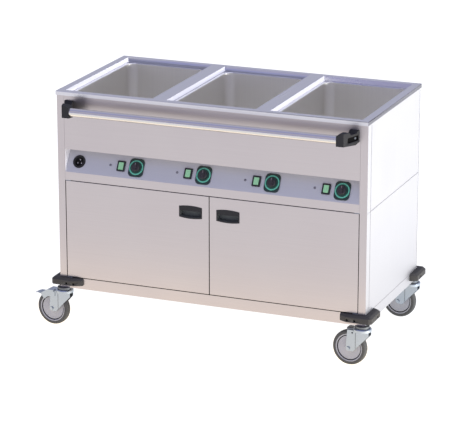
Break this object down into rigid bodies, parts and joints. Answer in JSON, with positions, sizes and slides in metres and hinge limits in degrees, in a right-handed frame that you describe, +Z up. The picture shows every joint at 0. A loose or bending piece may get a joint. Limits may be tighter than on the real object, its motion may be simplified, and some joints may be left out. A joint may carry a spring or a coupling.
{
  "type": "hostess trolley",
  "caption": "Hostess trolley with a stainless steel body: heated wells in the deck, a dial strip, a two-door hot cupboard, a push bar and swivel castors.",
  "frame": {"origin": "bottom centre of the whole part's bounding box, on the floor under the castors", "axes": "+X to the right when facing the doors, +Y to the back, +Z up; the front faces -Y"},
  "size_m": [1.2844, 0.68, 0.87],
  "materials": {
    "stainless_satin": "satin",
    "stainless_deck": "satin",
    "well_steel": "satin",
    "zinc_plate": "satin",
    "polished_tube": "polished",
    "copper_pipe": "satin",
    "black_plastic": "matte",
    "bumper_plastic": "matte",
    "green_plastic": "gloss",
    "green_ring": "gloss",
    "lamp_lens": "gloss",
    "wheel_plastic": "matte",
    "grey_tyre": "matte",
    "seal_rubber": "matte"
  },
  "bodies": {
    "trolley": {"chassis_frame": "stainless_satin", "bumper_front_right": "bumper_plastic", "bumper_front_left": "bumper_plastic", "bumper_rear_right": "bumper_plastic", "bumper_rear_left": "bumper_plastic", "side_panel_right": "stainless_satin", "side_panel_left": "stainless_satin", "rear_panel": "stainless_satin", "front_fascia": "stainless_satin", "control_panel": "stainless_satin", "top_deck": "stainless_deck", "well_heaters": "stainless_satin", "drain_pipework": "copper_pipe", "well_left": "well_steel", "well_centre": "well_steel", "well_right": "well_steel", "power_inlet": "black_plastic", "switch_housings": "black_plastic", "dial_bezels": "black_plastic", "dial_rings": "green_ring", "pilot_lamps": "lamp_lens", "thermostats": "black_plastic", "cabinet_liner": "stainless_satin", "cabinet_shelf": "stainless_satin", "cabinet_heater": "stainless_satin", "door_seal": "seal_rubber", "door_catches": "black_plastic", "door_pivots": "zinc_plate", "handle_bar": "polished_tube", "handle_bracket_right": "black_plastic", "handle_bracket_left": "black_plastic", "castor_heads": "zinc_plate"},
    "door_left": {"door_left_skin": "stainless_satin", "door_left_inner": "stainless_satin", "door_left_cup": "black_plastic"},
    "door_right": {"door_right_skin": "stainless_satin", "door_right_inner": "stainless_satin", "door_right_cup": "black_plastic"},
    "rocker_1": {"rocker_1": "green_plastic"},
    "rocker_2": {"rocker_2": "green_plastic"},
    "rocker_3": {"rocker_3": "green_plastic"},
    "rocker_4": {"rocker_4": "green_plastic"},
    "knob_1": {"knob_1": "black_plastic"},
    "knob_2": {"knob_2": "black_plastic"},
    "knob_3": {"knob_3": "black_plastic"},
    "knob_4": {"knob_4": "black_plastic"},
    "castor_front_left": {"castor_fork_front_left": "zinc_plate"},
    "wheel_front_left": {"castor_wheel_front_left": "wheel_plastic", "castor_tyre_front_left": "grey_tyre"},
    "pedal_front_left": {"brake_pedal_front_left": "zinc_plate"},
    "castor_front_right": {"castor_fork_front_right": "zinc_plate"},
    "wheel_front_right": {"castor_wheel_front_right": "wheel_plastic", "castor_tyre_front_right": "grey_tyre"},
    "castor_rear_left": {"castor_fork_rear_left": "zinc_plate"},
    "wheel_rear_left": {"castor_wheel_rear_left": "wheel_plastic", "castor_tyre_rear_left": "grey_tyre"},
    "pedal_rear_left": {"brake_pedal_rear_left": "zinc_plate"},
    "castor_rear_right": {"castor_fork_rear_right": "zinc_plate"},
    "wheel_rear_right": {"castor_wheel_rear_right": "wheel_plastic", "castor_tyre_rear_right": "grey_tyre"}
  },
  "joints": [
    {"name": "door_right_hinge", "type": "hinge", "parent": "trolley", "child": "door_right", "pos_m": [0.57416, -0.25, 0.3675], "axis": [0, 0, 1], "range_deg": [0, 110]},
    {"name": "door_left_hinge", "type": "hinge", "parent": "trolley", "child": "door_left", "pos_m": [-0.49684, -0.25, 0.3675], "axis": [0, 0, -1], "range_deg": [0, 110]},
    {"name": "rocker_1_tilt", "type": "hinge", "parent": "trolley", "child": "rocker_1", "pos_m": [-0.30179, -0.23462, 0.61302], "axis": [1, 0, 0], "range_deg": [0, 12]},
    {"name": "rocker_2_tilt", "type": "hinge", "parent": "trolley", "child": "rocker_2", "pos_m": [-0.04749, -0.23462, 0.61302], "axis": [1, 0, 0], "range_deg": [0, 12]},
    {"name": "rocker_3_tilt", "type": "hinge", "parent": "trolley", "child": "rocker_3", "pos_m": [0.20681, -0.23462, 0.61302], "axis": [1, 0, 0], "range_deg": [0, 12]},
    {"name": "rocker_4_tilt", "type": "hinge", "parent": "trolley", "child": "rocker_4", "pos_m": [0.46111, -0.23462, 0.61302], "axis": [1, 0, 0], "range_deg": [0, 12]},
    {"name": "knob_1_turn", "type": "hinge", "parent": "trolley", "child": "knob_1", "pos_m": [-0.24379, -0.24155, 0.61702], "axis": [0, 0.866, -0.5], "range_deg": [0, 300]},
    {"name": "knob_2_turn", "type": "hinge", "parent": "trolley", "child": "knob_2", "pos_m": [0.01051, -0.24155, 0.61702], "axis": [0, 0.866, -0.5], "range_deg": [0, 300]},
    {"name": "knob_3_turn", "type": "hinge", "parent": "trolley", "child": "knob_3", "pos_m": [0.26481, -0.24155, 0.61702], "axis": [0, 0.866, -0.5], "range_deg": [0, 300]},
    {"name": "knob_4_turn", "type": "hinge", "parent": "trolley", "child": "knob_4", "pos_m": [0.51911, -0.24155, 0.61702], "axis": [0, 0.866, -0.5], "range_deg": [0, 300]},
    {"name": "castor_front_left_swivel", "type": "hinge", "parent": "trolley", "child": "castor_front_left", "pos_m": [-0.52534, -0.2495, 0.139], "axis": [0, 0, 1], "continuous": true},
    {"name": "wheel_front_left_spin", "type": "hinge", "parent": "castor_front_left", "child": "wheel_front_left", "pos_m": [-0.57009, -0.2448, 0.0625], "axis": [0.1045, 0.9945, 0], "continuous": true},
    {"name": "pedal_front_left_press", "type": "hinge", "parent": "castor_front_left", "child": "pedal_front_left", "pos_m": [-0.57307, -0.24448, 0.118], "axis": [-0.1045, -0.9945, 0], "range_deg": [0, 7]},
    {"name": "castor_front_right_swivel", "type": "hinge", "parent": "trolley", "child": "castor_front_right", "pos_m": [0.60266, -0.2495, 0.139], "axis": [0, 0, 1], "continuous": true},
    {"name": "wheel_front_right_spin", "type": "hinge", "parent": "castor_front_right", "child": "wheel_front_right", "pos_m": [0.55791, -0.2448, 0.0625], "axis": [0.1045, 0.9945, 0], "continuous": true},
    {"name": "castor_rear_left_swivel", "type": "hinge", "parent": "trolley", "child": "castor_rear_left", "pos_m": [-0.52534, 0.2915, 0.139], "axis": [0, 0, 1], "continuous": true},
    {"name": "wheel_rear_left_spin", "type": "hinge", "parent": "castor_rear_left", "child": "wheel_rear_left", "pos_m": [-0.57009, 0.2962, 0.0625], "axis": [0.1045, 0.9945, 0], "continuous": true},
    {"name": "pedal_rear_left_press", "type": "hinge", "parent": "castor_rear_left", "child": "pedal_rear_left", "pos_m": [-0.57307, 0.29652, 0.118], "axis": [-0.1045, -0.9945, 0], "range_deg": [0, 7]},
    {"name": "castor_rear_right_swivel", "type": "hinge", "parent": "trolley", "child": "castor_rear_right", "pos_m": [0.60266, 0.2915, 0.139], "axis": [0, 0, 1], "continuous": true},
    {"name": "wheel_rear_right_spin", "type": "hinge", "parent": "castor_rear_right", "child": "wheel_rear_right", "pos_m": [0.55791, 0.2962, 0.0625], "axis": [0.1045, 0.9945, 0], "continuous": true}
  ]
}
